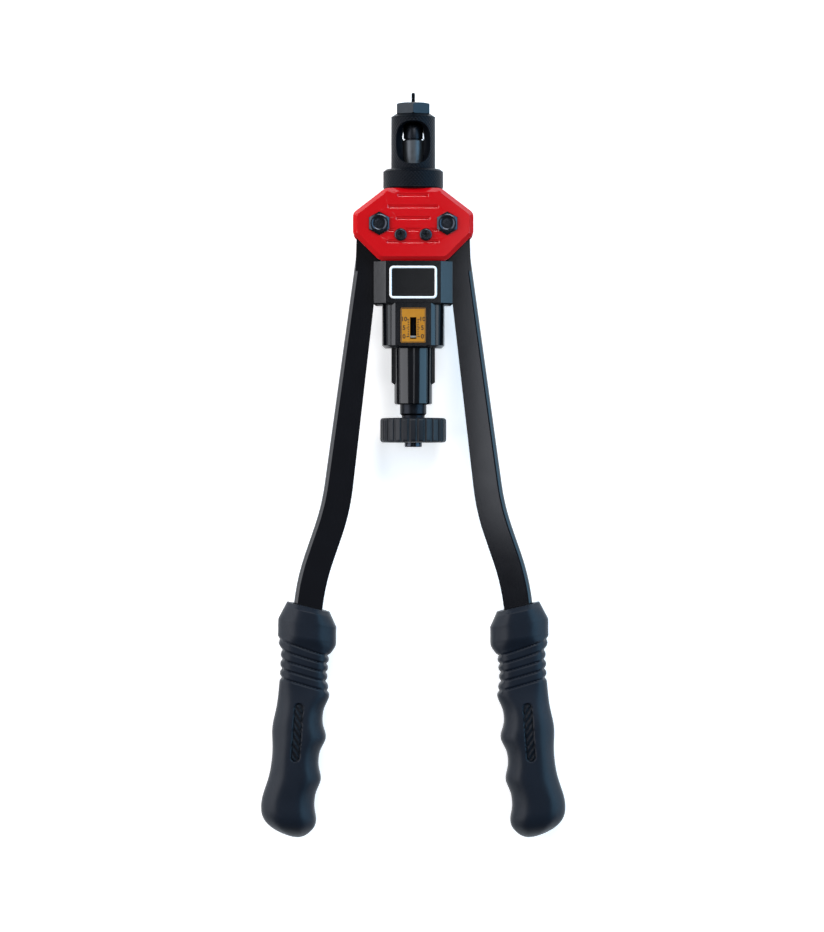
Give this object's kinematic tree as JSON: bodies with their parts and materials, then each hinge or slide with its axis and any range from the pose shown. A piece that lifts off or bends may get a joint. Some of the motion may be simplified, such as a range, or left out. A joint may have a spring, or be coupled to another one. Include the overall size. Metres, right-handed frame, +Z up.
{
  "type": "rivet nut hand tool",
  "caption": "Two-handed lever tool that sets blind rivet nuts: long handles open to push out a threaded mandrel and close to pull it back.",
  "frame": {"origin": "on the bench under the middle of the tool's length, below its own axis; the tool lies on its back", "axes": "+Y along the tool's axis towards the nose, +Z up out of the front cover, X across the two levers"},
  "size_m": [0.177, 0.4323, 0.0384],
  "materials": {
    "cover_red": "satin red enamel on a die cast cover",
    "screw_black": "black zinc plated steel",
    "bolt_black": "black zinc plated steel",
    "body_black": "gloss black enamel on cast steel",
    "name_plate_black": "printed film, blank",
    "scale_yellow": "anodised aluminium, yellow",
    "bronze": "sintered bronze",
    "nose_black": "black oxide on knurled steel",
    "anvil_steel": "hardened steel, black oxide",
    "forged_steel": "forged steel",
    "ground_steel": "ground steel",
    "pointer_white": "bright steel key",
    "bearing_steel": "bearing steel",
    "cage_brass": "brass",
    "spindle_steel": "black oxide on turned steel",
    "chuck_steel": "hardened steel",
    "mandrel_steel": "alloy steel",
    "knob_black": "black enamel on turned steel",
    "lever_black": "gloss black enamel on forged steel",
    "grip_rubber": "moulded rubber, fine grain"
  },
  "bodies": {
    "frame": {"front_cover": "cover_red", "rear_cover": "cover_red", "front_cover_screws": "screw_black", "rear_cover_screws": "screw_black", "pivot_bolts": "bolt_black", "pivot_nuts": "bolt_black", "body_casting": "body_black", "name_plate": "name_plate_black", "scale_plate": "scale_yellow", "tail_bush": "bronze"},
    "right_arm": {"right_lever": "lever_black", "right_pivot_bush": "bronze", "right_drive_pin": "ground_steel", "right_grip": "grip_rubber"},
    "left_arm": {"left_lever": "lever_black", "left_pivot_bush": "bronze", "left_drive_pin": "ground_steel", "left_grip": "grip_rubber"},
    "yoke": {"draw_yoke": "forged_steel", "draw_tube": "ground_steel", "stroke_pointer": "pointer_white", "thrust_race_upper": "bearing_steel"},
    "draw_spindle": {"spindle": "spindle_steel", "mandrel_chuck": "chuck_steel", "mandrel": "mandrel_steel", "knob": "knob_black", "knob_screw": "screw_black", "thrust_race_lower": "bearing_steel", "thrust_balls": "bearing_steel", "thrust_cage": "cage_brass"},
    "locknut": {"nose_locknut": "nose_black"},
    "nose": {"nose_sleeve": "nose_black", "nose_anvil": "anvil_steel"}
  },
  "joints": [
    {"name": "right_lever_swing", "type": "hinge", "parent": "frame", "child": "right_arm", "pos_m": [0.0196, 0.1393, 0.0192], "axis": [0, 0, 1], "range_deg": [0, 44]},
    {"name": "left_lever_swing", "type": "hinge", "parent": "frame", "child": "left_arm", "pos_m": [-0.0196, 0.1393, 0.0192], "axis": [0, 0, 1], "range_deg": [-44, 0]},
    {"name": "yoke_draw", "type": "slide", "parent": "frame", "child": "yoke", "axis": [0, 1, 0], "range_m": [0, 0.007]},
    {"name": "spindle_spin", "type": "hinge", "parent": "yoke", "child": "draw_spindle", "pos_m": [0, 0.1393, 0.0192], "axis": [0, 1, 0], "continuous": true},
    {"name": "nose_travel", "type": "slide", "parent": "frame", "child": "locknut", "axis": [0, 1, 0], "range_m": [0, 0.0045]},
    {"name": "nose_turn", "type": "hinge", "parent": "locknut", "child": "nose", "pos_m": [0, 0.1393, 0.0192], "axis": [0, 1, 0], "range_deg": [0, 1080]}
  ],
  "couplings": [
    {"joint": "left_lever_swing", "follows": "right_lever_swing", "ratio": -1},
    {"joint": "yoke_draw", "follows": "right_lever_swing", "m_per_rad": 0.00911},
    {"joint": "nose_turn", "follows": "nose_travel", "rad_per_m": 4188.4}
  ]
}
